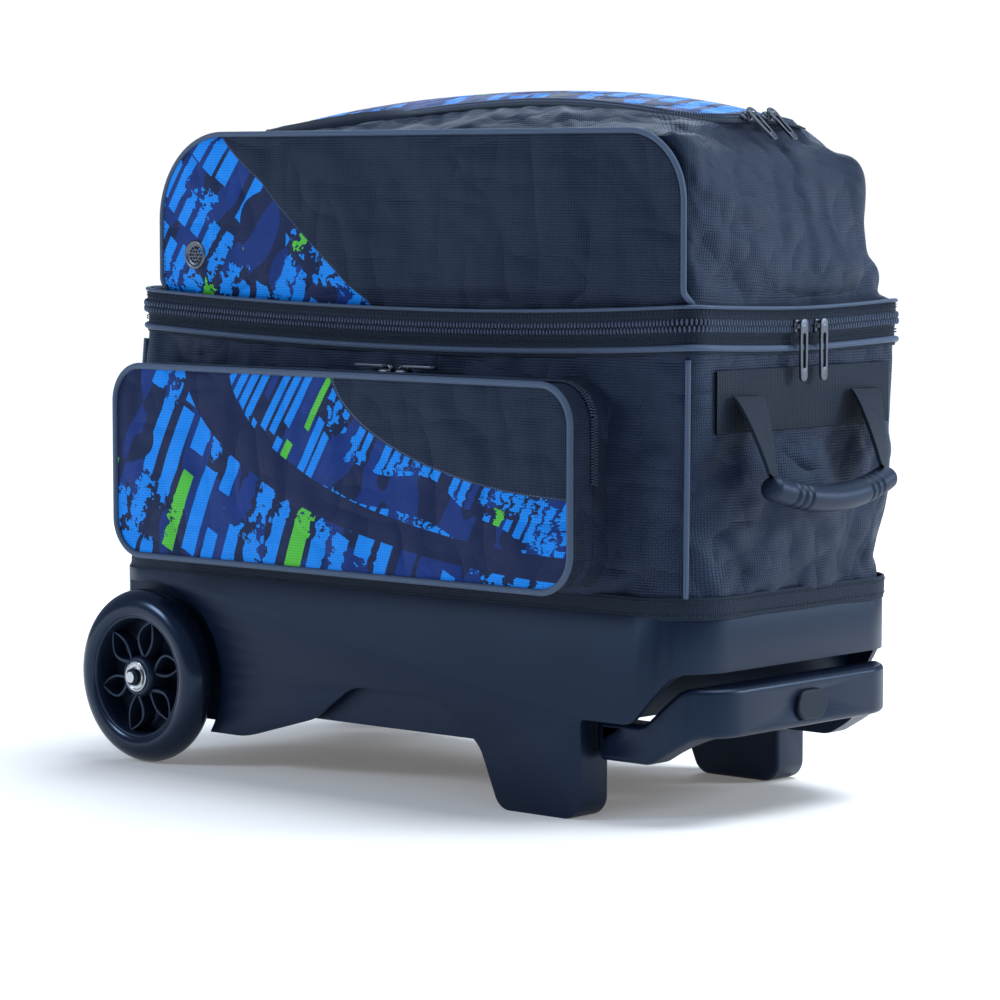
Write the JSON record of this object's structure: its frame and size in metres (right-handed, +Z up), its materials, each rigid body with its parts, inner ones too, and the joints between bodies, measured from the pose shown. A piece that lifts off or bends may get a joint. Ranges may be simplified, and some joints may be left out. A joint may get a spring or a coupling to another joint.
{
  "type": "bowling ball bag",
  "caption": "Wheeled two-ball bowling bag: moulded tub base with tow grip and wheels, padded ball compartment, zip-off shoe compartment, front pocket and end handles.",
  "frame": {"origin": "on the ground under the middle of the whole bag's box", "axes": "+X towards the tow grip's end, -Y towards the front pocket, +Z up"},
  "size_m": [0.5996, 0.3158, 0.4863],
  "materials": {
    "base_plastic": "satin moulded",
    "grip_plastic": "satin moulded",
    "button_plastic": "fine matte",
    "tyre": "smooth satin urethane",
    "hub_plastic": "satin",
    "bearing_steel": "bright",
    "axle_steel": "plated",
    "tube_metal": "anodised",
    "collar_plastic": "matte",
    "bag_fabric": "woven ballistic weave",
    "print_fabric": "printed weave",
    "piping": "woven cord",
    "tape": "ribbed tape",
    "webbing": "ribbed webbing",
    "handle_rubber": "matte moulded",
    "foam": "fabric-covered foam",
    "board": "covered board",
    "vent_metal": "nickel plated",
    "slider_metal": "gunmetal plated"
  },
  "bodies": {
    "chassis": {"base_shell": "base_plastic", "wheel_axle": "axle_steel", "axle_spacers": "axle_steel", "axle_nuts": "axle_steel", "outer_tubes": "tube_metal", "outer_collars": "collar_plastic", "lower_bag": "bag_fabric", "bottom_binding": "tape", "corner_piping": "piping", "main_zip_lower": "tape", "floor_pad": "foam", "ball_cradle_left": "foam", "ball_cradle_right": "foam", "ball_divider": "foam", "pocket_gusset": "bag_fabric", "pocket_lower": "print_fabric", "pocket_piping_lower": "piping", "handle_band_right": "webbing", "handle_band_left": "webbing"},
    "wheel_front_body": {"tyre_front": "tyre", "hub_front": "hub_plastic", "bearing_front": "bearing_steel"},
    "wheel_back_body": {"tyre_back": "tyre", "hub_back": "hub_plastic", "bearing_back": "bearing_steel"},
    "tow_mid_stage": {"mid_tubes": "tube_metal", "mid_collars": "collar_plastic"},
    "tow_grip_stage": {"inner_tubes": "tube_metal", "tow_grip": "grip_plastic"},
    "button": {"tow_button": "button_plastic"},
    "lid": {"upper_bag": "bag_fabric", "divider_board": "board", "main_zip_upper": "tape", "lid_shoulder": "bag_fabric", "upper_front_panel": "print_fabric", "upper_piping": "piping", "vent_eyelet": "vent_metal"},
    "flap": {"top_flap": "print_fabric"},
    "pocket_cover": {"pocket_flap": "print_fabric", "pocket_piping_upper": "piping"},
    "handle_right": {"handle_straps_right": "webbing", "handle_grip_right": "handle_rubber"},
    "handle_left": {"handle_straps_left": "webbing", "handle_grip_left": "handle_rubber"},
    "main_slider_a_body": {"main_slider_a": "slider_metal"},
    "main_pull_a_body": {"main_pull_a": "slider_metal"},
    "main_slider_b_body": {"main_slider_b": "slider_metal"},
    "main_pull_b_body": {"main_pull_b": "slider_metal"},
    "top_slider_a_body": {"top_slider_a": "slider_metal"},
    "top_pull_a_body": {"top_pull_a": "slider_metal"},
    "top_slider_b_body": {"top_slider_b": "slider_metal"},
    "top_pull_b_body": {"top_pull_b": "slider_metal"},
    "pocket_slider_a_body": {"pocket_slider_a": "slider_metal"},
    "pocket_pull_a_body": {"pocket_pull_a": "slider_metal"},
    "pocket_slider_b_body": {"pocket_slider_b": "slider_metal"},
    "pocket_pull_b_body": {"pocket_pull_b": "slider_metal"}
  },
  "joints": [
    {"name": "wheel_front_spin", "type": "hinge", "parent": "chassis", "child": "wheel_front_body", "pos_m": [-0.23469, -0.12355, 0.0635], "axis": [0, 1, 0], "continuous": true},
    {"name": "wheel_back_spin", "type": "hinge", "parent": "chassis", "child": "wheel_back_body", "pos_m": [-0.23469, 0.14045, 0.0635], "axis": [0, 1, 0], "continuous": true},
    {"name": "tow_mid_slide", "type": "slide", "parent": "chassis", "child": "tow_mid_stage", "axis": [1, 0, 0], "range_m": [0, 0.285]},
    {"name": "tow_grip_slide", "type": "slide", "parent": "tow_mid_stage", "child": "tow_grip_stage", "axis": [1, 0, 0], "range_m": [0, 0.285]},
    {"name": "button_press", "type": "slide", "parent": "tow_grip_stage", "child": "button", "axis": [-1, 0, 0], "range_m": [0, 0.004], "stiffness_N_per_m": 600},
    {"name": "lid_hinge", "type": "hinge", "parent": "chassis", "child": "lid", "pos_m": [-0.01069, 0.13275, 0.328], "axis": [-1, 0, 0], "range_deg": [0, 100]},
    {"name": "flap_hinge", "type": "hinge", "parent": "lid", "child": "flap", "pos_m": [-0.01069, 0.08085, 0.488], "axis": [-1, 0, 0], "range_deg": [0, 110]},
    {"name": "pocket_hinge", "type": "hinge", "parent": "chassis", "child": "pocket_cover", "pos_m": [-0.01069, -0.15845, 0.224], "axis": [1, 0, 0], "range_deg": [0, 65]},
    {"name": "handle_right_hinge", "type": "hinge", "parent": "chassis", "child": "handle_right", "pos_m": [0.26731, 0.00845, 0.283], "axis": [0, -1, 0], "range_deg": [0, 90]},
    {"name": "handle_left_hinge", "type": "hinge", "parent": "chassis", "child": "handle_left", "pos_m": [-0.26731, 0.00845, 0.283], "axis": [0, 1, 0], "range_deg": [0, 90]},
    {"name": "main_slider_a_slide", "type": "slide", "parent": "chassis", "child": "main_slider_a_body", "axis": [0, -1, 0], "range_m": [0, 0.06]},
    {"name": "main_pull_a_hinge", "type": "hinge", "parent": "main_slider_a_body", "child": "main_pull_a_body", "pos_m": [0.27291, -0.00255, 0.3315], "axis": [0, -1, 0], "range_deg": [0, 110]},
    {"name": "main_slider_b_slide", "type": "slide", "parent": "chassis", "child": "main_slider_b_body", "axis": [0, 1, 0], "range_m": [0, 0.06]},
    {"name": "main_pull_b_hinge", "type": "hinge", "parent": "main_slider_b_body", "child": "main_pull_b_body", "pos_m": [0.27291, 0.01945, 0.3315], "axis": [0, -1, 0], "range_deg": [0, 110]},
    {"name": "top_slider_a_slide", "type": "slide", "parent": "lid", "child": "top_slider_a_body", "axis": [0, -1, 0], "range_m": [0, 0.016]},
    {"name": "top_pull_a_hinge", "type": "hinge", "parent": "top_slider_a_body", "child": "top_pull_a_body", "pos_m": [0.22633, -0.00255, 0.47237], "axis": [0, -1, 0], "range_deg": [0, 120]},
    {"name": "top_slider_b_slide", "type": "slide", "parent": "lid", "child": "top_slider_b_body", "axis": [0, 1, 0], "range_m": [0, 0.016]},
    {"name": "top_pull_b_hinge", "type": "hinge", "parent": "top_slider_b_body", "child": "top_pull_b_body", "pos_m": [0.22633, 0.01945, 0.47237], "axis": [0, -1, 0], "range_deg": [0, 120]},
    {"name": "pocket_slider_a_slide", "type": "slide", "parent": "chassis", "child": "pocket_slider_a_body", "axis": [-1, 0, 0], "range_m": [0, 0.1]},
    {"name": "pocket_pull_a_hinge", "type": "hinge", "parent": "pocket_slider_a_body", "child": "pocket_pull_a_body", "pos_m": [0.00931, -0.12575, 0.2986], "axis": [0, 1, 0], "range_deg": [0, 80]},
    {"name": "pocket_slider_b_slide", "type": "slide", "parent": "chassis", "child": "pocket_slider_b_body", "axis": [1, 0, 0], "range_m": [0, 0.1]},
    {"name": "pocket_pull_b_hinge", "type": "hinge", "parent": "pocket_slider_b_body", "child": "pocket_pull_b_body", "pos_m": [0.02531, -0.12575, 0.2986], "axis": [0, -1, 0], "range_deg": [0, 80]}
  ]
}
